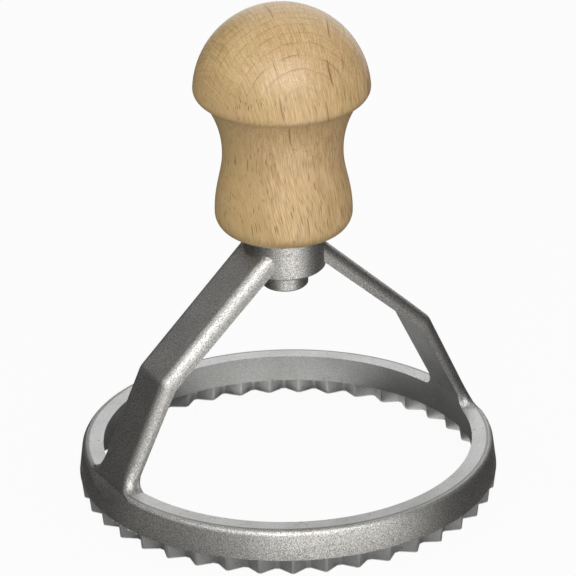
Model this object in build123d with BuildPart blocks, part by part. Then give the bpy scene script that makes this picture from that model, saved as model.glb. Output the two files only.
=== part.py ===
# Ravioli stamp: a cast cutter frame, a turned wooden handle and the screw that holds them together.
# Millimetres, +Z up. The origin is the middle of the cutting edge, and the bridge runs along X.
import os
from math import atan2, cos, radians, sin, sqrt, tan

from build123d import *

# Cutting ring
cut_diameter = 96.0  # across the outer tooth tips at the cutting edge
ring_wall = 5.2  # cutting edge's radius in to the bore, level with the flat top
ring_height = 10.6  # cutting edge to flat top
shoulder_round = 1.5  # outer top edge of the ring
outer_draft = 7.0  # degrees, lean of the outer wall and tips away from the mould's parting line
bore_draft = 10.4  # degrees, the bore opens downwards

# Teeth
tooth_count = 40
tooth_height = 3.65  # cutting edge to the lower edge of the plain band, where the mould parts
outer_tip_flat = 0.6
outer_flute_depth = 2.5
outer_flute_floor = 1.2
inner_tip_flat = 0.8
inner_flute_depth = 2.15
inner_flute_floor = 0.9
flute_draft = 5.0  # degrees, the flutes narrow upwards
flute_overrun = 1.5  # how far a flute's cutter reaches past the ring's wall

# Bridge
bridge_rise = 54.4  # flat top of the ring to the seat of the handle
arm_width = 13.6
arm_thickness = 3.95  # at the hub
knee_thickness = 3.45  # on both sides of the knee
arm_drop = 5.7  # seat of the handle to where an arm's outer face meets the hub
arm_overlap = 4.0  # how far an arm runs into the hub
knee_inset = 11.45  # foot of an arm's outer face in to the outer corner of the knee
knee_rise = 24.65  # flat top of the ring to the outer corner of the knee
knee_outer_round = 4.0
knee_inner_round = 1.0
foot_setback = 1.5  # outer face of an arm inside the cutting radius, level with the ring's flat top
foot_land = 0.5  # edge of the bore to the inner face of an arm, level with the ring's flat top
foot_depth = 1.0  # how far an arm runs down into the ring
toe_stock = 3.0  # how far a toe, before the bore is cut, reaches in past the edge of the bore
toe_overlap = 0.15  # how far a toe runs into its arm
arm_edge_round = 2.4  # long outer edges of an arm
root_round = 2.5  # where an arm grows out of the ring

# Hub
hub_diameter = 18.8
hub_height = 10.2
boss_diameter = 10.7
boss_height = 4.7
hub_edge_chamfer = 0.4

# Screw
screw_diameter = 4.0
screw_length = 40.0
screw_head_diameter = 7.5
screw_head_angle = 90.0  # degrees, the whole cone
screw_head_recess = 0.3  # head below the face of the boss
screw_point_length = 5.0
screw_slot_width = 1.1
screw_slot_depth = 1.0
screw_seat_clearance = 0.1
screw_hole_clearance = 0.25
screw_thread_clearance = 0.05
screw_point_clearance = 1.0

# Handle
handle_length = 53.1
seat_diameter = 27.6
bulge_diameter = 31.5
bulge_height = 3.6  # seat to the widest place of the lower swelling
neck_diameter = 27.6
neck_height = 18.2  # seat to the slimmest place
head_diameter = 40.4  # where the dome meets the rim
head_height = 34.3  # seat to where the dome meets the rim
crease_inset = 2.2  # from the rim's top in to the crease under it
crease_drop = 2.55  # from the rim's top down to the crease
neck_flare = 33.0  # degrees from upright, the neck's lean where it meets the crease

os.makedirs("parts", exist_ok=True)

# Levels and radii that the pieces share
cut_radius = cut_diameter / 2
bore_radius = cut_radius - ring_wall
hub_radius = hub_diameter / 2
boss_radius = boss_diameter / 2
band_radius = cut_radius + tooth_height * tan(radians(outer_draft))
shoulder_radius = band_radius - (ring_height - tooth_height) * tan(radians(outer_draft))
bore_ceiling_radius = bore_radius + (ring_height - tooth_height) * tan(radians(bore_draft))
bore_mouth_radius = bore_radius + ring_height * tan(radians(bore_draft))
seat_level = ring_height + bridge_rise
hub_level = seat_level - hub_height
boss_level = hub_level - boss_height


def flute_corners(tip_radius, tip_flat, floor_radius, floor_width, mouth_radius):
    """Corners of one flute, its middle on +X, with flanks that run from the floor past the tips."""
    half_pitch = radians(180 / tooth_count)
    tip_x = tip_radius * cos(half_pitch) + tip_flat / 2 * sin(half_pitch)
    tip_y = tip_radius * sin(half_pitch) - tip_flat / 2 * cos(half_pitch)
    floor_y = floor_width / 2
    spread = (tip_y - floor_y) / (tip_x - floor_radius)
    mouth_y = floor_y + spread * (mouth_radius - floor_radius)
    near, far = sorted([(floor_radius, floor_y), (mouth_radius, mouth_y)])
    return (near[0], -near[1]), (far[0], -far[1]), far, near


# One arm of the bridge, on the +X side: a bar bent at the knee, with rounded outer edges
foot_reach = cut_radius - foot_setback
inner_foot_reach = bore_radius + foot_land
knee = Vector(foot_reach - knee_inset, ring_height + knee_rise)
foot = Vector(foot_reach, ring_height)
crown = Vector(hub_radius, seat_level - arm_drop)
upper_slope = atan2(crown.Y - knee.Y, knee.X - crown.X)
lower_slope = atan2(knee.Y - foot.Y, foot.X - knee.X)
knee_turn = lower_slope - upper_slope
upper_run = Vector(cos(upper_slope), -sin(upper_slope))
lower_run = Vector(cos(lower_slope), -sin(lower_slope))
upper_inward = Vector(-sin(upper_slope), -cos(upper_slope))
inner_knee = knee + (upper_inward - upper_run * tan(knee_turn / 2)) * knee_thickness
inner_lean = (inner_foot_reach - inner_knee.X) / (inner_knee.Y - ring_height)
arm_start = crown - upper_run * (arm_overlap / cos(upper_slope))
arm_end = foot + lower_run * (foot_depth / sin(lower_slope))
foot_side = foot_reach - inner_foot_reach - 2 * toe_overlap  # what a toe leaves of an arm's side
edge_round = min(arm_edge_round, foot_side * sin(lower_slope))

with BuildPart() as arm:
    with BuildSketch(Plane.XZ):
        with BuildLine():
            Polyline(
                arm_start,
                knee,
                arm_end,
                (inner_foot_reach + foot_depth * inner_lean, arm_end.Y),
                inner_knee,
                arm_start - Vector(0, arm_thickness / cos(upper_slope)),
                close=True,
            )
        make_face()
        fillet(vertices().sort_by_distance(knee)[0], knee_outer_round)
        fillet(vertices().sort_by_distance(inner_knee)[0], knee_inner_round)
    extrude(amount=arm_width / 2, both=True)
    outer_faces = faces().filter_by(lambda face: face.normal_at().Z > cos(lower_slope) / 2)
    fillet(outer_faces.edges().filter_by(Axis.Y, reverse=True), edge_round)

# One toe: it fills the foot of an arm in past the bore's edge, as high as the bore's cone can reach
toe_reach = bore_radius - toe_stock
toe_gap = inner_foot_reach - sqrt(bore_radius**2 - (arm_width / 2) ** 2)
toe_height = (toe_gap + toe_overlap / 2) / (inner_lean - tan(radians(bore_draft)))
toe_bottom = ring_height - foot_depth
toe_top = ring_height + toe_height
toe_back = inner_foot_reach + toe_overlap

with BuildPart() as toe:
    with BuildSketch(Plane.XZ):
        with BuildLine():
            Polyline(
                (toe_reach, toe_bottom),
                (toe_back + foot_depth * inner_lean, toe_bottom),
                (toe_back - toe_height * inner_lean, toe_top),
                (toe_reach, toe_top),
                close=True,
            )
        make_face()
    extrude(amount=arm_width / 2, both=True)

# The casting: ring, bridge, hub and boss in one piece
with BuildPart() as cutter_frame:
    with BuildSketch(Plane.YZ):
        with BuildLine():
            Polyline(
                (0, 0),
                (cut_radius, 0),
                (band_radius, tooth_height),
                (shoulder_radius, ring_height),
                (0, ring_height),
                close=True,
            )
        make_face()
        fillet(vertices().sort_by_distance((shoulder_radius, ring_height))[0], shoulder_round)
    revolve(axis=Axis.Z)

    # Both arms on filled-out toes, with rounded roots where they stand on the ring
    add(arm.part)
    mirror(arm.part, about=Plane.YZ)
    add(toe.part)
    mirror(toe.part, about=Plane.YZ)
    roots = (
        edges()
        .filter_by(lambda edge: abs(edge.center().Z - ring_height) < shoulder_round / 2)
        .filter_by(lambda edge: abs(edge.center().Y) < arm_width / 2 + shoulder_round / 2)
        .filter_by(lambda edge: abs(edge.center().X) > toe_reach + root_round / 4)
    )
    fillet(roots, root_round)

    # The bore opens downwards, and its cone carries on up the toes to the arms' inner faces
    with BuildSketch(Plane.YZ):
        with BuildLine():
            Polyline(
                (0, 0),
                (bore_mouth_radius, 0),
                (bore_radius - toe_height * tan(radians(bore_draft)), toe_top),
                (0, toe_top),
                close=True,
            )
        make_face()
    revolve(axis=Axis.Z, mode=Mode.SUBTRACT)
    add(arm.part)
    mirror(arm.part, about=Plane.YZ)

    # The ring's shoulder is dressed flush with the outer face of each arm
    for way in (1, -1):
        outward = (way * sin(lower_slope), 0, cos(lower_slope))
        split(bisect_by=Plane(origin=(way * foot_reach, 0, ring_height), z_dir=outward), keep=Keep.BOTTOM)

    # Hub, with the boss below it
    with BuildSketch(Plane.YZ):
        with BuildLine():
            Polyline(
                (0, boss_level),
                (boss_radius, boss_level),
                (boss_radius, hub_level),
                (hub_radius, hub_level),
                (hub_radius, seat_level),
                (0, seat_level),
                close=True,
            )
        make_face()
        for corner in ((boss_radius, boss_level), (boss_radius, hub_level), (hub_radius, hub_level)):
            chamfer(vertices().sort_by_distance(corner)[0], hub_edge_chamfer)
    revolve(axis=Axis.Z)

    # Zigzag teeth: flutes cut from outside between the outer tips, and from inside behind them
    with BuildSketch(mode=Mode.PRIVATE) as outer_flute:
        Polygon(
            *flute_corners(
                cut_radius,
                outer_tip_flat,
                cut_radius - outer_flute_depth,
                outer_flute_floor,
                band_radius + flute_overrun,
            ),
            align=None,
        )
    with BuildSketch(mode=Mode.PRIVATE) as inner_flute:
        Polygon(
            *flute_corners(
                bore_mouth_radius,
                inner_tip_flat,
                bore_mouth_radius + inner_flute_depth,
                inner_flute_floor,
                bore_ceiling_radius - flute_overrun,
            ),
            align=None,
        )
    outer_cutter = extrude(outer_flute.sketch, amount=tooth_height, taper=flute_draft, mode=Mode.PRIVATE)
    inner_cutter = extrude(inner_flute.sketch, amount=tooth_height, taper=flute_draft, mode=Mode.PRIVATE)
    with PolarLocations(0, tooth_count, start_angle=180 / tooth_count):
        add(outer_cutter, mode=Mode.SUBTRACT)
    with PolarLocations(0, tooth_count):
        add(inner_cutter, mode=Mode.SUBTRACT)

    # Screw hole from below, with a conical seat for the head
    with Locations(Plane(origin=(0, 0, boss_level), z_dir=(0, 0, -1))):
        CounterSinkHole(
            radius=screw_diameter / 2 + screw_hole_clearance,
            counter_sink_radius=screw_head_diameter / 2 + screw_head_recess + screw_seat_clearance,
            counter_sink_angle=screw_head_angle,
        )

cutter_frame.part.label = "cutter_frame"
export_step(cutter_frame.part, "parts/cutter_frame.step")

# The screw: countersunk head in the boss, shank up through the hub, point in the wood
screw_radius = screw_diameter / 2
screw_head_radius = screw_head_diameter / 2
screw_base = boss_level + screw_head_recess
screw_tip = screw_base + screw_length
screw_head_height = (screw_head_radius - screw_radius) / tan(radians(screw_head_angle / 2))

with BuildPart() as handle_screw:
    with BuildSketch(Plane.XZ):
        with BuildLine():
            Polyline(
                (0, screw_base),
                (screw_head_radius, screw_base),
                (screw_radius, screw_base + screw_head_height),
                (screw_radius, screw_tip - screw_point_length),
                (0, screw_tip),
                close=True,
            )
        make_face()
    revolve(axis=Axis.Z)
    with BuildSketch(Plane.XY.offset(screw_base)):
        Rectangle(screw_head_diameter, screw_slot_width)
    extrude(amount=screw_slot_depth, mode=Mode.SUBTRACT)

handle_screw.part.label = "handle_screw"
export_step(handle_screw.part, "parts/handle_screw.step")

# The handle: turned from one piece, with a blind hole for the screw
seat_radius = seat_diameter / 2
bulge_radius = bulge_diameter / 2
head_radius = head_diameter / 2
bulge_level = seat_level + bulge_height
head_level = seat_level + head_height
handle_top = seat_level + handle_length
crease = (head_radius - crease_inset, head_level - crease_drop)

# The dome is one arc centred on the axis, and the rim below it starts in the same direction
dome_height = handle_length - head_height
dome_radius = (head_radius**2 + dome_height**2) / (2 * dome_height)
rim_direction = (dome_radius - dome_height, -head_radius)

with BuildPart() as handle:
    with BuildSketch(Plane.XZ):
        with BuildLine():
            Line((0, seat_level), (seat_radius, seat_level))
            TangentArc((bulge_radius, bulge_level), (seat_radius, seat_level), tangent=(0, -1))
            Spline(
                (bulge_radius, bulge_level),
                (neck_diameter / 2, seat_level + neck_height),
                crease,
                tangents=[(0, 1), (0, 1), (sin(radians(neck_flare)), cos(radians(neck_flare)))],
            )
            TangentArc((head_radius, head_level), crease, tangent=rim_direction)
            TangentArc((0, handle_top), (head_radius, head_level), tangent=(1, 0))
            Line((0, handle_top), (0, seat_level))
        make_face()
    revolve(axis=Axis.Z)
    with Locations(Plane(origin=(0, 0, seat_level), z_dir=(0, 0, -1))):
        Hole(
            radius=screw_radius + screw_thread_clearance,
            depth=screw_tip + screw_point_clearance - seat_level,
        )

handle.part.label = "handle"
export_step(handle.part, "parts/handle.step")
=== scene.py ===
# %% [markdown]
# # A ravioli stamp, dressed in Blender
#
# The stamp is a cast aluminium cutter, a turned beech handle and the screw between them. The sizes
# are already settled by the construction model, which is loaded here as a fixed frame. This lesson
# adds what a construction model leaves out: the broken edges and flared feet of the casting, its
# blasted grain, a little mould flash, the figure of the wood, the thread of the screw, and the light.

# %% Load the frame
from math import atan2, copysign, cos, pi, radians, sin

import bmesh
import bpy
from mathutils import Matrix, Vector


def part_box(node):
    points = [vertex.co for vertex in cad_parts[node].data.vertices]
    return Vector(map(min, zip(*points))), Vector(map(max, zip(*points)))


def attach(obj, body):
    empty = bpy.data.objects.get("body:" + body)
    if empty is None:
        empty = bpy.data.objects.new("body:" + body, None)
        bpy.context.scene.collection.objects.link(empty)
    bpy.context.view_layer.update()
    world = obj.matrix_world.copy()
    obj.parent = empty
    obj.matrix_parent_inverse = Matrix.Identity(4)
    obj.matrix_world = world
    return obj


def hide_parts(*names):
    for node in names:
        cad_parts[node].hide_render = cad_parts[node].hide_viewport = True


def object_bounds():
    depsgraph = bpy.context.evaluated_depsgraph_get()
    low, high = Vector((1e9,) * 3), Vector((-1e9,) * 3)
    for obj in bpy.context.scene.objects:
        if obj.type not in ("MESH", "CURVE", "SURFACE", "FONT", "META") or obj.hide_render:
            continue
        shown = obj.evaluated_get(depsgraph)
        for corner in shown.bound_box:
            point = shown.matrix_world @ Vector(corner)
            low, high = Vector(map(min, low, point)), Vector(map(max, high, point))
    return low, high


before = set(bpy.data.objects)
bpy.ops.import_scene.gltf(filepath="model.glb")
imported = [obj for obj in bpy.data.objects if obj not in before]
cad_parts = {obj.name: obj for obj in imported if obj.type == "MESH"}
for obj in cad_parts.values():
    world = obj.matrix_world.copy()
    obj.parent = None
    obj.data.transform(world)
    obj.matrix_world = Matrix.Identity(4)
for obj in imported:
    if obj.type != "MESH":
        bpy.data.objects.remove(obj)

MM = 0.001
FULL_TURN = 2 * pi
cad_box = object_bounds()
print("nodes:", sorted(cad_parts), "box:", [round(v, 4) for v in cad_box[1]])

# %% [markdown]
# ## The camera
#
# The photograph was taken from a good distance with a long lens, so the ring shows hardly any
# perspective. A camera could be placed by eye, but here every value comes from the ellipses of the
# ring and the outline of the handle: how far the camera looks down, how much it leans, and how
# wide it sees. The picture is square, so the lens follows from the focal length in picture widths.

# %% Camera at the photograph's viewing angle
PICTURE_SIDE = 576
FOCAL_PIXELS = 5518.2
SENSOR_WIDTH = 36.0
FARTHEST_SEEN = 20.0
# In millimetres, as the finish of the casting reads it.
RING_TOP = 10.6
CAMERA_DISTANCE = 1282.5 * MM
CAMERA_AZIMUTH = radians(-27.88)
CAMERA_ELEVATION = radians(26.69)
CAMERA_LEAN = radians(-0.975)
LOOK_AZIMUTH = CAMERA_AZIMUTH - radians(0.033)
LOOK_DOWN = radians(25.148)

camera_target = Vector((0, 0, RING_TOP * MM))
camera_offset = Vector(
    (
        cos(CAMERA_ELEVATION) * sin(CAMERA_AZIMUTH),
        -cos(CAMERA_ELEVATION) * cos(CAMERA_AZIMUTH),
        sin(CAMERA_ELEVATION),
    )
)
forward = Vector(
    (
        -sin(LOOK_AZIMUTH) * cos(LOOK_DOWN),
        cos(LOOK_AZIMUTH) * cos(LOOK_DOWN),
        -sin(LOOK_DOWN),
    )
)
level_side = forward.cross(Vector((0, 0, 1))).normalized()
level_up = level_side.cross(forward)
picture_right = level_side * cos(CAMERA_LEAN) + level_up * sin(CAMERA_LEAN)
picture_up = level_up * cos(CAMERA_LEAN) - level_side * sin(CAMERA_LEAN)

camera_data = bpy.data.cameras.new("camera")
camera_data.sensor_width = SENSOR_WIDTH
camera_data.lens = FOCAL_PIXELS / PICTURE_SIDE * SENSOR_WIDTH
camera_data.clip_end = FARTHEST_SEEN
camera = bpy.data.objects.new("camera", camera_data)
camera_matrix = Matrix((picture_right, picture_up, -forward)).transposed().to_4x4()
camera_matrix.translation = camera_target + camera_offset * CAMERA_DISTANCE
camera.matrix_world = camera_matrix
bpy.context.collection.objects.link(camera)
bpy.context.scene.camera = camera
bpy.context.scene.view_settings.view_transform = "Standard"
print("camera at", [round(v, 3) for v in camera.location], "lens", round(camera_data.lens, 1), "mm")

# %% [markdown]
# ## Helpers for nodes
#
# A material is a small tree of nodes. Each node could be made and linked by hand, but a finish then
# takes pages. These helpers make a node and fill its inputs in one line, so that a line of code reads
# like a line of arithmetic: a product, a fade from one value to another, a colour over a colour.

# %% Helpers for numbers and vectors


def fill_inputs(tree, node, inputs):
    """Fills the inputs of a node with plain values or links."""
    for socket, value in dict(inputs).items():
        if isinstance(value, bpy.types.NodeSocket):
            tree.links.new(value, node.inputs[socket])
        else:
            node.inputs[socket].default_value = value


def add_node(tree, kind, inputs=(), **settings):
    """Adds a node, sets its properties and fills its inputs."""
    node = tree.nodes.new(kind)
    for name, value in settings.items():
        setattr(node, name, value)
    fill_inputs(tree, node, inputs)
    return node


def calculate(tree, operation, *values):
    """One Math node, given its operation and its values."""
    return add_node(tree, "ShaderNodeMath", dict(enumerate(values)), operation=operation).outputs[0]


def product(tree, first, *others):
    """Values multiplied with one another."""
    for other in others:
        first = calculate(tree, "MULTIPLY", first, other)
    return first


def with_share(tree, total, value, share):
    """A total to which a share of another value is added."""
    return calculate(tree, "MULTIPLY_ADD", value, share, total)


def between(tree, mask, low, high):
    """Runs evenly from low to high while the mask goes from 0 to 1."""
    inputs = {"Value": mask, "To Min": low, "To Max": high}
    return add_node(tree, "ShaderNodeMapRange", inputs).outputs["Result"]


def fade(tree, value, start, end):
    """Runs smoothly from 0 at start to 1 at end, whichever of the two is larger."""
    inputs = {"Value": value, "From Min": start, "From Max": end}
    ranged = add_node(tree, "ShaderNodeMapRange", inputs, interpolation_type="SMOOTHSTEP")
    return ranged.outputs["Result"]


def vector_calculate(tree, operation, *values, **named):
    """One Vector Math node, whose result is a vector."""
    inputs = dict(enumerate(values)) | named
    return add_node(tree, "ShaderNodeVectorMath", inputs, operation=operation).outputs["Vector"]


def vector_measure(tree, operation, *values):
    """One Vector Math node, whose result is a number, such as a length."""
    inputs = dict(enumerate(values))
    return add_node(tree, "ShaderNodeVectorMath", inputs, operation=operation).outputs["Value"]


def split(tree, vector):
    """The X, Y and Z of a vector."""
    return add_node(tree, "ShaderNodeSeparateXYZ", {0: vector}).outputs


print("helpers for numbers and vectors ready")

# %% Helpers for patterns, colours and materials
# Keeps X and Y of a vector that is multiplied by it, and drops Z.
LEVEL = (1, 1, 0)


def place_in_millimetres(tree):
    """The place on the part, in millimetres."""
    place = add_node(tree, "ShaderNodeTexCoord").outputs["Object"]
    return vector_calculate(tree, "SCALE", place, Scale=1 / MM)


def noise(tree, place, frequency, detail, roughness=0.5):
    """Soft noise with so many waves for each unit of place."""
    inputs = {"Vector": place, "Scale": frequency, "Detail": detail, "Roughness": roughness}
    return add_node(tree, "ShaderNodeTexNoise", inputs).outputs


def bumped_normal(tree, height, strength, depth):
    """The normal of a surface that rises and falls with a height, by a depth in metres."""
    inputs = {"Height": height, "Strength": strength, "Distance": depth}
    return add_node(tree, "ShaderNodeBump", inputs).outputs["Normal"]


def blend_colours(tree, factor, first, second):
    """A mix of two colours, by the numbers of the colour sockets of a Mix node."""
    FACTOR, FIRST, SECOND, RESULT = 0, 6, 7, 2
    inputs = {FACTOR: factor, FIRST: first, SECOND: second}
    return add_node(tree, "ShaderNodeMix", inputs, data_type="RGBA").outputs[RESULT]


def layered(tree, colour, layers):
    """A colour with others laid over it, each by a share of its mask."""
    for mask, share, cover in layers:
        colour = blend_colours(tree, product(tree, mask, share), colour, cover)
    return colour


def new_material(name):
    """A material with a Principled surface, its tree and its shader."""
    material = bpy.data.materials.new(name)
    material.use_nodes = True
    return material, material.node_tree, material.node_tree.nodes["Principled BSDF"]


def new_group(name, vectors, values, masks):
    """A node group that makes masks from vectors and values: the group, its inputs and its end."""
    group = bpy.data.node_groups.new(name, "ShaderNodeTree")
    sockets = [(title, "INPUT", "NodeSocketVector") for title in vectors]
    sockets += [(title, "INPUT", "NodeSocketFloat") for title in values]
    sockets += [(title, "OUTPUT", "NodeSocketFloat") for title in masks]
    for title, direction, kind in sockets:
        group.interface.new_socket(title, in_out=direction, socket_type=kind)
    start = group.nodes.new("NodeGroupInput")
    end = group.nodes.new("NodeGroupOutput")
    return group, start.outputs, end


def place_group(tree, group, inputs):
    """Places a node group in a material, and gives its masks."""
    return add_node(tree, "ShaderNodeGroup", inputs, node_tree=group).outputs


print("helpers for patterns, colours and materials ready")

# %% [markdown]
# ## Helpers for pieces
#
# Every piece is shaped as a bmesh, Blender's editable mesh, and then written to an object at the
# origin, so that a pattern on Object coordinates is in the same place as the part. The loaded nodes
# can't be edited themselves: their faces are loose patches, and they stay as they are. So a copy is
# merged. The borders of the patches are just the edges of the real shape, and are marked before.

# %% Mesh helpers
MERGE_DISTANCE = 0.002 * MM


def finished_piece(name, shape, material):
    """Writes a bmesh to a new object at the origin, with its material and no stored normals."""
    mesh = bpy.data.meshes.new(name)
    shape.to_mesh(mesh)
    shape.free()
    if "custom_normal" in mesh.attributes:
        mesh.attributes.remove(mesh.attributes["custom_normal"])
    mesh.materials.clear()
    mesh.materials.append(material)
    piece = bpy.data.objects.new(name, mesh)
    bpy.context.collection.objects.link(piece)
    return piece


def merged_copy(node):
    """A merged bmesh of a loaded node, with the edges of the real shape marked as seams."""
    shape = bmesh.new()
    shape.from_mesh(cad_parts[node].data)
    for edge in shape.edges:
        edge.seam = edge.is_boundary
    bmesh.ops.remove_doubles(shape, verts=shape.verts, dist=MERGE_DISTANCE)
    return shape


def cut_level(shape, level):
    """Cuts new edges into a shape at one height."""
    bmesh.ops.bisect_plane(
        shape,
        geom=shape.verts[:] + shape.edges[:] + shape.faces[:],
        dist=MERGE_DISTANCE,
        plane_co=(0, 0, level),
        plane_no=(0, 0, 1),
    )


print("mesh helpers ready")

# %% [markdown]
# ## The floor and the white around
#
# The stamp stands on a plain white floor. A white floor can be made by pouring light on it, but
# then the wood would burn out. Here the floor and the world answer camera, glossy and transmission
# rays with plain white, and the floor keeps a share of its real shading for the soft shadow.

# %% Floor and world
FLOOR_SIDE = 6.0
FLOOR_WHITENESS = 0.94
AMBIENT = 0.6
WHITE = (1, 1, 1, 1)
PAPER = (0.62, 0.62, 0.62, 1)


def seen_directly(tree):
    """1 for camera, glossy and transmission rays, which all show the white background."""
    path = add_node(tree, "ShaderNodeLightPath").outputs
    seen = calculate(tree, "MAXIMUM", path["Is Camera Ray"], path["Is Glossy Ray"])
    return calculate(tree, "MAXIMUM", seen, path["Is Transmission Ray"])


def white_floor_material():
    """Paper that shows as plain white, with a share of its real shading."""
    material, tree, shader = new_material("white_floor")
    tree.nodes.remove(shader)
    paper = add_node(tree, "ShaderNodeBsdfDiffuse", {"Color": PAPER}).outputs[0]
    white = add_node(tree, "ShaderNodeEmission", {"Color": WHITE, "Strength": 1.0}).outputs[0]
    share = product(tree, seen_directly(tree), FLOOR_WHITENESS)
    mix = add_node(tree, "ShaderNodeMixShader", {0: share, 1: paper, 2: white}).outputs[0]
    fill_inputs(tree, tree.nodes["Material Output"], {"Surface": mix})
    return material


def white_world():
    """A world that looks white and lights the stamp with less than that."""
    world = bpy.data.worlds.new("studio")
    world.use_nodes = True
    tree = world.node_tree
    brightness = between(tree, seen_directly(tree), AMBIENT, 1.0)
    fill_inputs(tree, tree.nodes["Background"], {"Color": WHITE, "Strength": brightness})
    return world


floor_shape = bmesh.new()
bmesh.ops.create_grid(floor_shape, x_segments=1, y_segments=1, size=FLOOR_SIDE / 2)
floor = finished_piece("floor", floor_shape, white_floor_material())
bpy.context.scene.world = white_world()
print("floor of", FLOOR_SIDE, "m, world:", bpy.context.scene.world.name)

# %% [markdown]
# ## The card on the table
#
# Matte metal is drawn by what it mirrors, and much of this casting mirrors the table. A photographer
# gives it shape with cards out of the picture. Many small cards could be laid out, but their borders
# would show as steps in the metal. So one round card is graded: it is dark, and its light is a sum of
# soft patches. It shines on the far table in front of the stamp and glows weakly on the left. A patch
# inside the ring lights the bore at the back. Close to the teeth it is faint, like paper in shade, and
# brighter only inside the ring at the right.

# %% Graded card
CARD_FRONT = radians(-99)
CARD_LEFT = radians(-160)
CARD_BACK = radians(66)
CARD_RIGHT = radians(0)
FRONT_WIDTH = radians(42)
LEFT_WIDTH = radians(32)
BACK_WIDTH = radians(32)
RIGHT_WIDTH = radians(50)
FAR_TABLE = (50 * MM, 85 * MM)
DIMMER_TABLE = (110 * MM, 190 * MM)
LEFT_TABLE = (120 * MM, 75 * MM)
INSIDE_RING = (46 * MM, 42 * MM)
OUTER_PAPER = [(46 * MM, 47.5 * MM), (54 * MM, 50 * MM)]
INNER_PAPER = [(43.5 * MM, 45 * MM), (47.5 * MM, 46 * MM)]
DIMMING = -0.18
LEFT_GLOW = 0.3
BACK_GLOW = 0.4
OUTER_GLOW = 0.055
INNER_GLOW = 0.36
FULL_PART = 0.25
CARD_LIGHT = 1.95
CARD_ROUGHNESS = 0.9
DARK_CARD = (0.03, 0.029, 0.027, 1)
UNLIT = (0, 0, 0, 1)
WARM_WHITE = (1, 0.99, 0.97, 1)


def graded_card_material():
    """A dark card that shines in soft patches."""
    material, tree, shader = new_material("graded_card")
    place = add_node(tree, "ShaderNodeTexCoord").outputs["Object"]
    away = vector_calculate(tree, "NORMALIZE", place)
    reach = vector_measure(tree, "LENGTH", place)

    def sector(azimuth, half_width):
        """1 in the middle part about an azimuth, and 0 from the half width on."""
        middle = (cos(azimuth), sin(azimuth), 0)
        along = vector_measure(tree, "DOT_PRODUCT", away, middle)
        return fade(tree, along, cos(half_width), cos(half_width * FULL_PART))

    def at_reach(*limits):
        """1 at the distances from the axis that all the limits allow."""
        return product(tree, *(fade(tree, reach, start, end) for start, end in limits))

    far = with_share(tree, at_reach(FAR_TABLE), at_reach(DIMMER_TABLE), DIMMING)
    left = product(tree, sector(CARD_LEFT, LEFT_WIDTH), at_reach(LEFT_TABLE))
    front = with_share(tree, sector(CARD_FRONT, FRONT_WIDTH), left, LEFT_GLOW)
    behind = product(tree, sector(CARD_BACK, BACK_WIDTH), at_reach(INSIDE_RING))
    inner_paper = product(tree, at_reach(*INNER_PAPER), sector(CARD_RIGHT, RIGHT_WIDTH))
    shine = product(tree, front, far)
    shine = with_share(tree, shine, behind, BACK_GLOW)
    shine = with_share(tree, shine, at_reach(*OUTER_PAPER), OUTER_GLOW)
    shine = with_share(tree, shine, inner_paper, INNER_GLOW)
    looks = {
        "Emission Color": blend_colours(tree, shine, UNLIT, WARM_WHITE),
        "Emission Strength": CARD_LIGHT,
        "Base Color": DARK_CARD,
        "Roughness": CARD_ROUGHNESS,
    }
    fill_inputs(tree, shader, looks)
    return material


graded_card = graded_card_material()
print("material:", graded_card.name, len(graded_card.node_tree.nodes), "nodes")

# %% [markdown]
# ## Dark walls and a dark ceiling
#
# Between the open front and an open gap behind, dark walls stand at the back left, on the left and on
# the right, each as high as the dark part of the reflection asks. A dark ceiling lets the ring's
# shoulder keep its shape. They could be boxes round the stamp, but an outline spun about the stamp's
# axis is at the same distance everywhere. Only reflections see the cards.

# %% Cards about the stamp's axis
CARD_REACH = 420 * MM
CARD_LIFT = 0.2 * MM
CARD_STEPS = 24
TABLE_HOLE = 1 * MM
CEILING_HOLE = 10 * MM
CEILING_REACH = 290 * MM
CEILING_HEIGHT = 640 * MM
# Height, first azimuth and sweep of each wall.
WALLS = {
    "card_back": (440 * MM, radians(82), radians(66)),
    "card_left": (260 * MM, radians(148), radians(67)),
    "card_right": (560 * MM, radians(-62), radians(88)),
}


def black_card_material():
    """Matte black paper."""
    material, tree, shader = new_material("black_card")
    fill_inputs(tree, shader, {"Base Color": DARK_CARD, "Roughness": CARD_ROUGHNESS})
    return material


def spun_card(name, material, outline, start, sweep):
    """Spins an outline of radius and height about the stamp's axis, from one azimuth on."""
    shape = bmesh.new()
    corners = [
        shape.verts.new((radius * cos(start), radius * sin(start), height))
        for radius, height in outline
    ]
    edges = [shape.edges.new(pair) for pair in zip(corners, corners[1:])]
    bmesh.ops.spin(
        shape,
        geom=corners + edges,
        axis=(0, 0, 1),
        cent=(0, 0, 0),
        angle=sweep,
        steps=CARD_STEPS,
        use_merge=sweep == FULL_TURN,
    )
    card = finished_piece(name, shape, material)
    card.visible_camera = False
    card.visible_diffuse = False
    card.visible_shadow = False


black_card = black_card_material()
table_outline = [(TABLE_HOLE, CARD_LIFT), (CARD_REACH, CARD_LIFT)]
spun_card("card_table", graded_card, table_outline, 0, FULL_TURN)
for wall, (wall_height, wall_start, wall_sweep) in WALLS.items():
    wall_outline = [(CARD_REACH, 0), (CARD_REACH, wall_height)]
    spun_card(wall, black_card, wall_outline, wall_start, wall_sweep)
ceiling_outline = [(CEILING_HOLE, CEILING_HEIGHT), (CEILING_REACH, CEILING_HEIGHT)]
spun_card("card_ceiling", black_card, ceiling_outline, 0, FULL_TURN)

# %% [markdown]
# ## The lamp
#
# The bright band on the near edge of the left arm and the soft patch on the knob face the camera, so
# the lamp stands in front, a little to the right of the camera and above it. A small lamp would be
# simpler, but it gives sharp highlights and hard shadows. A large softbox keeps both soft.

# %% Softbox


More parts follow.
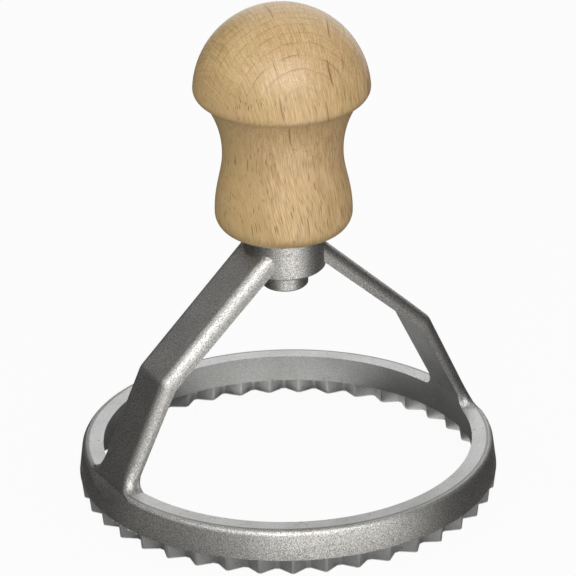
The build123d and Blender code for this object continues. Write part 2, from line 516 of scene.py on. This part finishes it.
def softbox(name, azimuth, elevation, distance, width, height, power):
    """An area lamp that faces the middle of the stamp."""
    lamp = bpy.data.lights.new(name, "AREA")
    lamp.shape = "RECTANGLE"
    lamp.size = width
    lamp.size_y = height
    lamp.energy = power
    box = bpy.data.objects.new(name, lamp)
    aim = Vector((0, 0, cad_box[1].z / 2))
    away = Vector(
        (cos(elevation) * cos(azimuth), cos(elevation) * sin(azimuth), sin(elevation))
    )
    box.location = aim + away * distance
    box.rotation_euler = away.to_track_quat("Z", "Y").to_euler()
    bpy.context.collection.objects.link(box)
    return box


front_softbox = softbox(
    "front_softbox",
    azimuth=radians(-113),
    elevation=radians(41),
    distance=0.95,
    width=0.9,
    height=0.55,
    power=5.1,
)
print("lamp:", front_softbox.name, "at", [round(v, 2) for v in front_softbox.location])

# %% [markdown]
# ## The grain of the casting
#
# The cutter was cast and then blasted, which leaves a fine sparkling grain of about a quarter of a
# millimetre, some soft stains and small pits. The grain could be modelled, at the cost of millions of
# faces. A node group makes it instead, because the casting, its flash and the screw all use it, the
# screw with a coarser grain.

# %% Blasted grain
BLOTCH_FREQUENCY = 0.12
PIT_FREQUENCY = 0.42
PIT_BORDER = (0.16, 0.06)


def make_grain_group():
    """Fine blasted grain, soft blotches and small pits, from a place in millimetres."""
    group, start, end = new_group(
        "blasted_grain", ["Place"], ["Grain Size"], ["Grain", "Blotch", "Pit"]
    )
    place = start["Place"]
    frequency = calculate(group, "DIVIDE", 1.0, start["Grain Size"])
    cells = add_node(group, "ShaderNodeTexVoronoi", {"Vector": place, "Scale": PIT_FREQUENCY})
    masks = {
        "Grain": noise(group, place, frequency, detail=2.0, roughness=0.6)["Fac"],
        "Blotch": noise(group, place, BLOTCH_FREQUENCY, detail=3.0)["Fac"],
        "Pit": fade(group, cells.outputs["Distance"], *PIT_BORDER),
    }
    fill_inputs(group, end, masks)
    return group


grain_group = make_grain_group()
print("group:", grain_group.name, len(grain_group.nodes), "nodes")

# %% [markdown]
# ## The zones of the casting
#
# The teeth and the ring's flat top were cut, and the bore and the inner faces of the arms left the
# mould smoother. A fine dark line of painted shade runs where the turned top meets the rounded
# shoulder, where the start of the shoulder mirrors dark. Each face could get its own material, but the
# borders would be hard. So a group works out soft masks from the place and the direction of the
# surface.

# %% Casting zones
ON_TOP = (0.3, 0.1)
FLAT_UP = (0.9, 0.98)
FACING_IN = (-0.3, -0.7)
PAST_HUB = (10.0, 12.0)
TOOTH_END = (0.02, -0.06)
# Radii, height and facing of the painted shade line where the shoulder starts.
SHADE_LINE_INNER = (46.0, 46.2)
SHADE_LINE_OUTER = (46.8, 46.55)
SHADE_LINE_NEAR_TOP = (0.5, 0.3)
SHADE_LINE_UP = (0.6, 0.85)


def make_zone_group():
    """Where the casting is cut, turned or smooth, and its line of painted shade, from a place in
    millimetres.
    """
    group, start, end = new_group(
        "casting_zones",
        ["Place"],
        ["Ring Top", "Tooth Height"],
        ["Smooth", "Cut", "Turned", "Shade Line", "Radius"],
    )
    height = split(group, start["Place"])["Z"]
    flat = vector_calculate(group, "MULTIPLY", start["Place"], LEVEL)
    radius = vector_measure(group, "LENGTH", flat)
    outwards = vector_calculate(group, "NORMALIZE", flat)
    normal = add_node(group, "ShaderNodeNewGeometry").outputs["Normal"]
    facing_out = vector_measure(group, "DOT_PRODUCT", normal, outwards)
    facing_up = split(group, normal)["Z"]

    above_ring = calculate(group, "SUBTRACT", height, start["Ring Top"])
    off_top = calculate(group, "ABSOLUTE", above_ring)
    turned = product(group, fade(group, off_top, *ON_TOP), fade(group, facing_up, *FLAT_UP))
    # A thin dark line of painted shade where the start of the shoulder mirrors dark.
    painted_shade_line = product(
        group,
        fade(group, radius, *SHADE_LINE_INNER),
        fade(group, radius, *SHADE_LINE_OUTER),
        fade(group, off_top, *SHADE_LINE_NEAR_TOP),
        fade(group, facing_up, *SHADE_LINE_UP),
    )
    above_teeth = calculate(group, "SUBTRACT", height, start["Tooth Height"])
    cut = calculate(group, "MAXIMUM", turned, fade(group, above_teeth, *TOOTH_END))
    inner = product(group, fade(group, facing_out, *FACING_IN), fade(group, radius, *PAST_HUB))
    masks = {
        "Smooth": calculate(group, "MAXIMUM", cut, inner),
        "Cut": cut,
        "Turned": turned,
        "Shade Line": painted_shade_line,
        "Radius": radius,
    }
    fill_inputs(group, end, masks)
    return group


zone_group = make_zone_group()
print("group:", zone_group.name, len(zone_group.nodes), "nodes")

# %% [markdown]
# ## The finish of the casting
#
# The metal could be plain grey with noise in its colour, but the sparkle on the real casting comes
# from tiny facets that tilt each its own way. So the grain drives the bump first, and colour and
# roughness follow a little. The turned top also gets faint marks that depend on the radius alone, as
# a turning tool leaves them.

# %% Cast aluminium
TOOTH_HEIGHT = 3.65
GRAIN_SIZE = 0.26
SPARKLE = (0.36, 0.64)
STAINED = (0.35, 0.75)
# Dark and bright facets of each kind of metal.
BLASTED_METAL = ((0.33, 0.32, 0.305, 1), (0.78, 0.77, 0.75, 1))
SMOOTH_METAL = ((0.5, 0.505, 0.5, 1), (0.62, 0.625, 0.62, 1))
CUT_METAL = ((0.61, 0.615, 0.61, 1), (0.73, 0.735, 0.73, 1))
STAIN_COLOUR = (0.3, 0.29, 0.26, 1)
# Colour of the painted shade line at the start of the shoulder.
SHADE_LINE_COLOUR = (0.17, 0.165, 0.155, 1)
PIT_COLOUR = (0.16, 0.155, 0.145, 1)
STAIN_SHARE = 0.2
SHADE_LINE_SHARE = 0.6
PIT_SHARE = 0.35
DULL_FACET = 0.54
BRIGHT_FACET = 0.4
SMOOTH_ROUGHER = 0.1
TURNED_ROUGHER = -0.14
MARKS_ROUGHER = 0.1
SMOOTH_GRAIN = 0.3
PIT_HEIGHT = -0.5
MARKS_HEIGHT = 0.25
MARKS_FREQUENCY = 5.0


def turning_marks(tree, radius):
    """Uneven rings that a turning tool leaves."""
    inputs = {"W": radius, "Scale": MARKS_FREQUENCY, "Detail": 2.0}
    return add_node(tree, "ShaderNodeTexNoise", inputs, noise_dimensions="1D").outputs["Fac"]


def cast_aluminium_material():
    """Blasted metal, cut, turned or smoother where the zones say so."""
    material, tree, shader = new_material("cast_aluminium_blasted")
    place = place_in_millimetres(tree)
    grain = place_group(tree, grain_group, {"Place": place, "Grain Size": GRAIN_SIZE})
    ring = {"Place": place, "Ring Top": RING_TOP, "Tooth Height": TOOTH_HEIGHT}
    zones = place_group(tree, zone_group, ring)
    smooth = zones["Smooth"]
    sparkle = fade(tree, grain["Grain"], *SPARKLE)
    marks = product(tree, turning_marks(tree, zones["Radius"]), zones["Turned"])

    colour = blend_colours(tree, sparkle, *BLASTED_METAL)
    colour = blend_colours(tree, smooth, colour, blend_colours(tree, sparkle, *SMOOTH_METAL))
    colour = blend_colours(tree, zones["Cut"], colour, blend_colours(tree, sparkle, *CUT_METAL))
    stain = fade(tree, grain["Blotch"], *STAINED)
    layers = [
        (stain, STAIN_SHARE, STAIN_COLOUR),
        # Painted shade: the dark line at the start of the shoulder.
        (zones["Shade Line"], SHADE_LINE_SHARE, SHADE_LINE_COLOUR),
        (grain["Pit"], PIT_SHARE, PIT_COLOUR),
    ]
    roughness = between(tree, sparkle, DULL_FACET, BRIGHT_FACET)
    roughness = with_share(tree, roughness, smooth, SMOOTH_ROUGHER)
    roughness = with_share(tree, roughness, zones["Turned"], TURNED_ROUGHER)
    roughness = with_share(tree, roughness, marks, MARKS_ROUGHER)
    height = product(tree, grain["Grain"], between(tree, smooth, 1.0, SMOOTH_GRAIN))
    height = with_share(tree, height, grain["Pit"], PIT_HEIGHT)
    height = with_share(tree, height, marks, MARKS_HEIGHT)
    looks = {
        "Base Color": layered(tree, colour, layers),
        "Roughness": roughness,
        "Normal": bumped_normal(tree, height, strength=0.8, depth=0.1 * MM),
        "Metallic": 1.0,
    }
    fill_inputs(tree, shader, looks)
    return material


cast_aluminium = cast_aluminium_material()
print("material:", cast_aluminium.name, len(cast_aluminium.node_tree.nodes), "nodes")

# %% [markdown]
# ## The flared feet
#
# Where an arm stands on the ring, its sides spread a little to the left and right along the ring, so
# that the metal could flow in the mould. A separate wedge would leave a seam. So the sides of the foot
# are cut at a few heights, and their corners are turned about the stamp's axis, most at the ring's top
# and less above and below it.

# %% Flare of the feet
FLARE_TURN = radians(3.0)
FLARE_INNER = 43.5 * MM
FLARE_OUTER = 46.5 * MM
FLARE_HEIGHT = 7.0 * MM
FLARE_DEPTH = 3.0 * MM
FLARE_CUTS = [level * MM for level in (2.7, 3.4, 4.2, 5.1, 6.1, 7.0)]
ARM_SIDE = radians(8.5)
FLARE_EDGE = radians(13)
FLARE_END = radians(23)
STILL_PLANE = radians(0.5)


def flare_share(corner):
    """How much of the full turn a corner of the casting gets, from 0 to 1."""
    above = corner.z - RING_TOP * MM
    nearness = 1 - above / FLARE_HEIGHT if above > 0 else 1 + above / FLARE_DEPTH
    side = atan2(abs(corner.y), abs(corner.x))
    if nearness <= 0 or side >= FLARE_END:
        return 0.0
    spread = min(side / ARM_SIDE, 1.0)
    if side > FLARE_EDGE:
        spread = (FLARE_END - side) / (FLARE_END - FLARE_EDGE)
    reach = (corner.xy.length - FLARE_INNER) / (FLARE_OUTER - FLARE_INNER)
    return spread * nearness**2 * min(max(reach, 0.0), 1.0)


def flare_feet(shape):
    """Spreads the sides of both feet round the ring."""
    for level in FLARE_CUTS:
        cut_level(shape, RING_TOP * MM + level)
    moved = 0
    for vertex in shape.verts:
        share = flare_share(vertex.co)
        if share > 0:
            outwards = copysign(1, vertex.co.x * vertex.co.y)
            vertex.co = Matrix.Rotation(outwards * FLARE_TURN * share, 3, "Z") @ vertex.co
            moved += 1
    bmesh.ops.connect_verts_nonplanar(shape, angle_limit=STILL_PLANE, faces=shape.faces)
    print("flared feet:", moved, "corners moved")


print("feet cut at", len(FLARE_CUTS), "levels above the ring's top")

# %% [markdown]
# ## The casting with broken edges
#
# The construction model has razor-sharp edges, and no casting has. A Bevel modifier would round all of
# them alike. Here the corner between each arm and the hub gets a wide round first, as the moulder's
# fillet. Then each marked edge that really turns gets a narrow one: enough to catch a line of light,
# too little to change a size. A Weighted Normal modifier keeps the flats flat.

# %% Fillet at the hub, and the casting
EDGE_BREAK = 0.16 * MM
EDGE_STEPS = 2
REAL_TURN = radians(9)
FLAT_TURN = radians(0.3)
HUB_RADIUS = 9.4 * MM
HUB_FILLET = 1.6 * MM
HUB_FILLET_STEPS = 5
HUB_FILLET_FROM = 54.0 * MM
HUB_FILLET_TO = 64.5 * MM
HUB_MATCH = 0.03 * MM


def really_turns(edge):
    """Whether the faces beside an edge meet at an angle that shows."""
    return edge.is_manifold and edge.calc_face_angle() > REAL_TURN


def round_edges(shape, edges, width, steps):
    """Bevels edges round, and holds the bevel back where it would run into another."""
    bmesh.ops.bevel(
        shape,
        geom=edges,
        offset=width,
        offset_type="OFFSET",
        affect="EDGES",
        segments=steps,
        profile=0.5,
        material=-1,
        clamp_overlap=True,
    )


def fillet_at_hub(shape):
    """Rounds the inner corner where each arm's upper face meets the hub."""

    def on_hub(corner):
        on_radius = abs(corner.xy.length - HUB_RADIUS) < HUB_MATCH
        return on_radius and HUB_FILLET_FROM < corner.z < HUB_FILLET_TO

    inner_corner = [
        edge
        for edge in shape.edges
        if really_turns(edge) and not edge.is_convex and all(on_hub(end.co) for end in edge.verts)
    ]
    for edge in inner_corner:
        edge.seam = False
    round_edges(shape, inner_corner, HUB_FILLET, HUB_FILLET_STEPS)
    print("hub fillet on", len(inner_corner), "edges")


def casting_with_broken_edges():
    """The casting with its feet flared, its hub filleted and its edges rounded."""
    shape = merged_copy("cutter_frame")
    bmesh.ops.dissolve_limit(shape, angle_limit=FLAT_TURN, verts=shape.verts, edges=shape.edges)
    flare_feet(shape)
    fillet_at_hub(shape)
    for face in shape.faces:
        face.smooth = True
    sharp = [edge for edge in shape.edges if edge.seam and really_turns(edge)]
    round_edges(shape, sharp, EDGE_BREAK, EDGE_STEPS)
    print("bevelled", len(sharp), "edges,", len(shape.faces), "faces")
    return shape


casting = finished_piece("casting", casting_with_broken_edges(), cast_aluminium)
even_light = casting.modifiers.new("even_light", "WEIGHTED_NORMAL")
even_light.mode = "FACE_AREA"
even_light.weight = 50
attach(casting, "root")
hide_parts("cutter_frame")

# %% [markdown]
# ## Mould flash
#
# Where the two halves of the mould met, a little metal ran out under the ring's band. Most of it was
# broken off, and thin ragged fins are left on two stretches at the left side, paler where they were
# torn. A rough texture can't stand out from the outline, so the fins are real strips: an upright line
# is spun along the band, its lower corners are moved up and down unevenly, and it gets the thickness
# of foil.

# %% Flash fins
FLASH_RADIUS = 48.3 * MM
FLASH_OVERLAP = 0.1
FLASH_TOP = (TOOTH_HEIGHT + FLASH_OVERLAP) * MM
FLASH_DROP = 0.75 * MM
FLASH_FOIL = 0.14 * MM
FLASH_STEP = radians(0.45)
# First azimuth of each stretch, and its number of steps.
FLASH_STRETCHES = [(radians(-174.5), 24), (radians(155), 9)]
# Size, number round the ring and shift of the waves in the torn edge.
TORN_WAVES = [(0.3, 90, 0), (0.2, 217, 1)]
TORN_MEAN = 0.5
TORN_LEAST = 0.2
TORN_METAL = ((0.55, 0.55, 0.54, 1), (0.86, 0.86, 0.85, 1))


def torn_aluminium_material():
    """Freshly torn metal: paler than the casting and dull, so that it shows from any side."""
    material, tree, shader = new_material("cast_aluminium_torn")
    inputs = {"Place": place_in_millimetres(tree), "Grain Size": GRAIN_SIZE}
    grain = place_group(tree, grain_group, inputs)["Grain"]
    looks = {
        "Base Color": blend_colours(tree, grain, *TORN_METAL),
        "Normal": bumped_normal(tree, grain, strength=0.6, depth=0.05 * MM),
        "Metallic": 0.4,
        "Roughness": 0.55,
    }
    fill_inputs(tree, shader, looks)
    return material


def flash_fins():
    """Thin strips under the band, torn at their lower edge."""
    shape = bmesh.new()
    for start, steps in FLASH_STRETCHES:
        ends = [
            shape.verts.new((FLASH_RADIUS * cos(start), FLASH_RADIUS * sin(start), level))
            for level in (FLASH_TOP, FLASH_TOP - FLASH_DROP)
        ]
        line = shape.edges.new(ends)
        bmesh.ops.spin(
            shape,
            geom=[*ends, line],
            cent=(0, 0, 0),
            axis=(0, 0, 1),
            angle=steps * FLASH_STEP,
            steps=steps,
        )
    for vertex in shape.verts:
        if vertex.co.z < FLASH_TOP - FLASH_DROP / 2:
            azimuth = atan2(vertex.co.y, vertex.co.x)
            waves = sum(size * sin(count * azimuth + shift) for size, count, shift in TORN_WAVES)
            vertex.co.z = FLASH_TOP - FLASH_DROP * max(TORN_LEAST, TORN_MEAN + waves)
    bmesh.ops.recalc_face_normals(shape, faces=shape.faces)
    bmesh.ops.solidify(shape, geom=shape.faces, thickness=FLASH_FOIL)
    bmesh.ops.recalc_face_normals(shape, faces=shape.faces)
    return shape


flash = finished_piece("mould_flash", flash_fins(), torn_aluminium_material())
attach(flash, "root")
print("flash fins:", len(flash.data.polygons), "faces")

# %% [markdown]
# ## The figure of the wood
#
# Beech is known by its rays: thin sheets of cells that run from the heart of the tree outwards. Cut
# across, they are the short dark dashes on the front of the handle, among finer pores. Cut along, on
# its sides, they hardly darken the wood. On the dome the growth rings show as broken lines, with
# speckle between them. A picture of wood wrapped round the handle would get none of these right at
# once. So the figure is solid: each place is turned into how far it is from the heart, how far round,
# and how high, and the figure is drawn in those measures. The turned shape then cuts through it as
# the lathe did.

# %% Places and cells in the tree
GRAIN_LEAN = (0.11, -0.06, 0.0)
WANDER_FREQUENCY = 0.07
WANDER = 2.4
NOISE_MEAN = 0.5
SPINDLE_BORDER = (1.0, 0.6)


def place_in_tree(group, start):
    """How far out from the heart, how far round and how high a place has grown."""
    place = start["Place"]
    lean = vector_calculate(group, "SCALE", GRAIN_LEAN, Scale=split(group, place)["Z"])
    upright = vector_calculate(group, "ADD", place, lean)
    wander = noise(group, place, WANDER_FREQUENCY, detail=2.0)["Color"]
    wander = vector_calculate(group, "SUBTRACT", wander, (NOISE_MEAN,) * 3)
    wander = vector_calculate(group, "SCALE", wander, Scale=WANDER)
    grown = vector_calculate(group, "ADD", upright, wander)
    from_heart = vector_calculate(group, "SUBTRACT", grown, start["Heart"])
    parts = split(group, from_heart)
    level = vector_calculate(group, "MULTIPLY", from_heart, LEVEL)
    outwards = vector_measure(group, "LENGTH", level)
    turn = calculate(group, "ARCTAN2", parts["X"], parts["Y"])
    around = product(group, turn, start["Heart Distance"])
    return outwards, around, parts["Z"]


def in_cells(group, tree_place, cell):
    """A place in the tree, counted in cells of the given size out, round and up."""
    counts = {
        axis: calculate(group, "DIVIDE", length, size)
        for axis, length, size in zip("XYZ", tree_place, cell)
    }
    return add_node(group, "ShaderNodeCombineXYZ", counts).outputs["Vector"]


def spindles(group, place_in_cells, smallest, spread, share):
    """Spindles in a share of the cells, each its own size: 1 inside and 0 outside."""
    inputs = {"Vector": place_in_cells, "Scale": 1.0}
    cells = add_node(group, "ShaderNodeTexVoronoi", inputs).outputs
    chance = add_node(group, "ShaderNodeSeparateColor", {0: cells["Color"]}).outputs
    size = with_share(group, smallest, chance["Red"], spread)
    inside = calculate(group, "DIVIDE", cells["Distance"], size)
    darkness = fade(group, chance["Green"], 1 - share, 1 - share / 3)
    return product(group, fade(group, inside, *SPINDLE_BORDER), darkness)


print("wood: grain leans by", GRAIN_LEAN, "and wanders by", WANDER, "mm")

# %% [markdown]
# ## Rings, rays and fibres
#
# Each mark of the figure is a mask of its own, so that the finish can colour them one by one. How
# strong a mark is depends on how the lathe cut the wood there: end grain on the dome, plain-sawn wood
# on the front and quarter-sawn wood on the sides. One mask could be painted for each side, but the
# direction of the surface tells it anyway.

# %% Marks of the wood
PORE = (0.45, 0.45, 6.5)
RAY = (28.0, 1.2, 14.0)
FIBRE = (5.0, 0.27, 3.8)
LATE_WOOD = (0.3, 1.0)
LINE_RISE = (0.82, 0.95)
LINE_FALL = (1.0, 0.97)
LINE_GAPS = (0.36, 0.58)
LINE_GAP_FREQUENCY = 0.22
FAINTEST_LINE = 0.4
LINE_ON_SIDES = 0.12
PORE_CLUSTERS = (0.22, 0.55)
CLUSTER_FREQUENCY = 0.16
PORES_ON_ENDS = 0.2
SPECKLE_FREQUENCY = 2.4
SPECKLE_SHARE = 0.35


def growth_rings(group, place, outwards, ring_width, upper_end):
    """Late wood, which grows darker through each year, and the broken line at its end."""
    years = calculate(group, "DIVIDE", outwards, ring_width)
    year = calculate(group, "FRACT", years)
    count = {"W": calculate(group, "FLOOR", years)}
    season = add_node(group, "ShaderNodeTexWhiteNoise", count, noise_dimensions="1D").outputs["Value"]
    gaps = noise(group, place, LINE_GAP_FREQUENCY, detail=3.0)["Fac"]
    line = product(
        group,
        fade(group, year, *LINE_RISE),
        fade(group, year, *LINE_FALL),
        between(group, season, FAINTEST_LINE, 1.0),
        fade(group, gaps, *LINE_GAPS),
        between(group, upper_end, LINE_ON_SIDES, 1.0),
    )
    return fade(group, year, *LATE_WOOD), line


def rays_and_pores(group, place, tree_place, end_grain, plain_sawn):
    """The dark spindles of the rays, and finer pores in loose clusters."""
    pore = spindles(
        group, in_cells(group, tree_place, PORE), smallest=0.15, spread=0.3, share=0.9
    )
    cluster = noise(group, place, CLUSTER_FREQUENCY, detail=2.0)["Fac"]
    pore = product(
        group,
        pore,
        fade(group, cluster, *PORE_CLUSTERS),
        between(group, end_grain, 1.0, PORES_ON_ENDS),
    )
    ray = spindles(
        group, in_cells(group, tree_place, RAY), smallest=0.12, spread=0.16, share=1.0
    )
    return calculate(group, "MAXIMUM", product(group, ray, plain_sawn), pore)


def fibres(group, place, tree_place, end_grain, plain_sawn):
    """Fine streaks along the grain, and some speckle on the end grain."""
    fibre = noise(group, in_cells(group, tree_place, FIBRE), 1.0, detail=2.0, roughness=0.6)["Fac"]
    contrast = calculate(group, "SUBTRACT", fibre, NOISE_MEAN)
    fibre = with_share(group, NOISE_MEAN, contrast, plain_sawn)
    speckle = noise(group, place, SPECKLE_FREQUENCY, detail=1.0)["Fac"]
    difference = calculate(group, "SUBTRACT", speckle, fibre)
    return with_share(group, fibre, difference, product(group, end_grain, SPECKLE_SHARE))


print("cells of pores, rays and fibres in mm:", PORE, RAY, FIBRE)

# %% Solid figure of the wood
END_GRAIN = (0.15, 0.6)
UPPER_END = (0.2, 0.65)
QUARTER_SAWN = (0.5, 0.95)
MARKS_ON_QUARTER = 0.2
TONE_FREQUENCY = 0.06
# Painted shade tint: the wood turns paler and yellower towards the camera's left, where its side is in
# shade.
SHADED_SIDE_TINT = (0.008, -0.004, 0.0)


def make_wood_group():
    """The figure of wood whose heart stands upright beside the piece, in millimetres."""
    group, start, end = new_group(
        "ringed_wood",
        ["Place", "Heart"],
        ["Heart Distance", "Ring Width"],
        ["Late Wood", "Ring Line", "Ray", "Fibre", "Tone And Shade Tint"],
    )
    place = start["Place"]
    tree_place = place_in_tree(group, start)
    facing = split(group, add_node(group, "ShaderNodeNewGeometry").outputs["Normal"])
    end_grain = fade(group, calculate(group, "ABSOLUTE", facing["Z"]), *END_GRAIN)
    upper_end = fade(group, facing["Z"], *UPPER_END)
    quarter_sawn = fade(group, calculate(group, "ABSOLUTE", facing["X"]), *QUARTER_SAWN)
    upright_face = calculate(group, "SUBTRACT", 1.0, upper_end)
    quarter_sawn = product(group, quarter_sawn, upright_face)
    plain_sawn = between(group, quarter_sawn, 1.0, MARKS_ON_QUARTER)
    late, line = growth_rings(group, place, tree_place[0], start["Ring Width"], upper_end)
    tone = noise(group, place, TONE_FREQUENCY, detail=2.0)["Fac"]
    # Painted shade tint, added to the random tone: paler and yellower towards the camera's left, the
    # shaded side.
    painted_side_tint = vector_measure(group, "DOT_PRODUCT", place, SHADED_SIDE_TINT)
    masks = {
        "Late Wood": late,
        "Ring Line": line,
        "Ray": rays_and_pores(group, place, tree_place, end_grain, plain_sawn),
        "Fibre": fibres(group, place, tree_place, end_grain, plain_sawn),
        "Tone And Shade Tint": calculate(group, "ADD", tone, painted_side_tint),
    }
    fill_inputs(group, end, masks)
    return group


wood_group = make_wood_group()
print("group:", wood_group.name, len(wood_group.nodes), "nodes")

# %% [markdown]
# ## The finish of the handle
#
# The handle was turned, sanded and lightly oiled, so it has a satin sheen and its pores stay open. It
# could be varnished with a clear, smooth coat, but that gives a sharp highlight. Here the coat is about
# as rough as the wood. The pale ground gets the marks of the figure one over another, from fibres to
# rays.

# %% Beech, turned, sanded and lightly oiled
HEART = (-6.0, -78.0, 0.0)
HEART_DISTANCE = 78.0
RING_WIDTH = 2.3
TONES_AND_SHADE_TINT = (0.3, 0.7)
FIBRES = (0.34, 0.66)
PALE_BEECH = (0.67, 0.48, 0.215, 1)
PINK_BEECH = (0.69, 0.465, 0.24, 1)
FIBRE_BROWN = (0.45, 0.28, 0.105, 1)
LATE_BROWN = (0.45, 0.27, 0.12, 1)
LINE_BROWN = (0.3, 0.165, 0.065, 1)
RAY_BROWN = (0.2, 0.095, 0.03, 1)
FIBRE_SHARE = 0.95
LATE_SHARE = 0.1
RING_LINE_SHARE = 0.9
RAY_SHARE = 0.8
SANDED = 0.4
SANDED_FIBRE = 0.5
RAY_HEIGHT = -0.6


def beech_material():
    """Pale beech with the marks of its figure, under a satin coat."""
    material, tree, shader = new_material("beech_satin")
    inputs = {
        "Place": place_in_millimetres(tree),
        "Heart": HEART,
        "Heart Distance": HEART_DISTANCE,
        "Ring Width": RING_WIDTH,
    }
    figure = place_group(tree, wood_group, inputs)
    tone = fade(tree, figure["Tone And Shade Tint"], *TONES_AND_SHADE_TINT)
    fibre = fade(tree, figure["Fibre"], *FIBRES)
    layers = [
        (fibre, FIBRE_SHARE, FIBRE_BROWN),
        (figure["Late Wood"], LATE_SHARE, LATE_BROWN),
        (figure["Ring Line"], RING_LINE_SHARE, LINE_BROWN),
        (figure["Ray"], RAY_SHARE, RAY_BROWN),
    ]
    # The ground runs from pale to pink with the random tone, and turns pale towards the camera's left
    # as painted shade tint.
    ground = blend_colours(tree, tone, PALE_BEECH, PINK_BEECH)
    height = with_share(tree, figure["Fibre"], figure["Ray"], RAY_HEIGHT)
    looks = {
        "Base Color": layered(tree, ground, layers),
        "Roughness": between(tree, fibre, SANDED, SANDED_FIBRE),
        "Normal": bumped_normal(tree, height, strength=0.25, depth=0.08 * MM),
        "Coat Weight": 0.8,
        "Coat Roughness": 0.4,
    }
    fill_inputs(tree, shader, looks)
    return material


beech = beech_material()
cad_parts["handle"].material_slots[0].material = beech
print("material:", beech.name, len(beech.node_tree.nodes), "nodes")

# %% [markdown]
# ## The finish of the screw
#
# The screw is steel with a bright coat of zinc, which is a little cloudy. It could be a plain mirror,
# but then it looks new and chromed. The grain group of the casting, with a coarser grain, gives it
# soft changes in colour and roughness.

# %% Screw steel
SCREW_GRAIN = 0.5
ZINC = ((0.52, 0.51, 0.48, 1), (0.68, 0.67, 0.64, 1))
CLEAR_ZINC = 0.2
CLOUDY_ZINC = 0.45


def screw_steel_material():
    """Steel with a bright, slightly cloudy coat of zinc."""
    material, tree, shader = new_material("screw_steel_zinc")
    inputs = {"Place": place_in_millimetres(tree), "Grain Size": SCREW_GRAIN}
    grain = place_group(tree, grain_group, inputs)
    looks = {
        "Base Color": blend_colours(tree, grain["Grain"], *ZINC),
        "Roughness": between(tree, grain["Blotch"], CLEAR_ZINC, CLOUDY_ZINC),
        "Normal": bumped_normal(tree, grain["Grain"], strength=0.3, depth=0.02 * MM),
        "Metallic": 1.0,
    }
    fill_inputs(tree, shader, looks)
    return material


screw_steel = screw_steel_material()
print("material:", screw_steel.name, len(screw_steel.node_tree.nodes), "nodes")

# %% [markdown]
# ## The screw's thread
#
# A wood screw has a plain shank under its head, then a thinner core with a sharp ridge that climbs
# round it and fades out on the point. The construction model is a plain pin, since the thread only
# bites into wood. A ridge could be stacked up from rings, but a real one never closes on itself. So
# a copy of the pin is narrowed to the core, and a small triangle is spun about its axis while it
# climbs by one pitch for each turn.

# %% Screw with its thread
SCREW_PITCH = 1.8 * MM
CORE_RADIUS = 1.4 * MM
CREST_RADIUS = 1.97 * MM
SHANK_LENGTH = 14.0 * MM
SHANK_TAPER = 1.0 * MM
POINT_LENGTH = 5.0 * MM
RIDGE_WIDTH = 0.8 * MM
RIDGE_SINK = 0.1 * MM
STEPS_A_TURN = 24


def narrowed_core(shape, core_start):
    """Cuts the pin where its thread begins, and narrows it from there to the point."""
    for level in (core_start - SHANK_TAPER, core_start):
        cut_level(shape, level)
    core = [vertex for vertex in shape.verts if vertex.co.z > core_start - MERGE_DISTANCE]
    share = CORE_RADIUS / max(vertex.co.xy.length for vertex in core)
    bmesh.ops.scale(shape, vec=(share, share, 1), verts=core)


def spun_ridge(shape, core_start, tip):
    """Spins a triangle up the core, and shrinks it at its start and on the point."""
    inner = CORE_RADIUS - RIDGE_SINK
    triangle = [(inner, -RIDGE_WIDTH / 2), (CREST_RADIUS, 0), (inner, RIDGE_WIDTH / 2)]
    start = core_start + RIDGE_WIDTH / 2
    pin = set(shape.verts)
    corners = [shape.verts.new((radius, 0, start + rise)) for radius, rise in triangle]
    first = shape.faces.new(corners)
    turns = int((tip - start - RIDGE_WIDTH) / SCREW_PITCH)
    bmesh.ops.spin(
        shape,
        geom=[first, *first.edges, *corners],
        cent=(0, 0, 0),
        axis=(0, 0, 1),
        dvec=(0, 0, SCREW_PITCH / STEPS_A_TURN),
        angle=turns * FULL_TURN,
        steps=turns * STEPS_A_TURN,
    )
    for vertex in set(shape.verts) - pin:
        on_point = min(1.0, (tip - vertex.co.z) / POINT_LENGTH)
        begun = min(1.0, (vertex.co.z - core_start) / SCREW_PITCH)
        radius = vertex.co.xy.length
        vertex.co.xy *= on_point * (inner + (radius - inner) * begun) / radius
    return turns


def threaded_screw():
    """The screw with a plain shank, a narrower core and its ridge."""
    head, tip = (corner.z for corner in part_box("handle_screw"))
    core_start = head + SHANK_LENGTH
    shape = merged_copy("handle_screw")
    narrowed_core(shape, core_start)
    turns = spun_ridge(shape, core_start, tip)
    bmesh.ops.recalc_face_normals(shape, faces=shape.faces)
    print("thread of", turns, "turns,", len(shape.faces), "faces")
    return shape


screw = finished_piece("threaded_screw", threaded_screw(), screw_steel)
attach(screw, "root")
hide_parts("handle_screw")
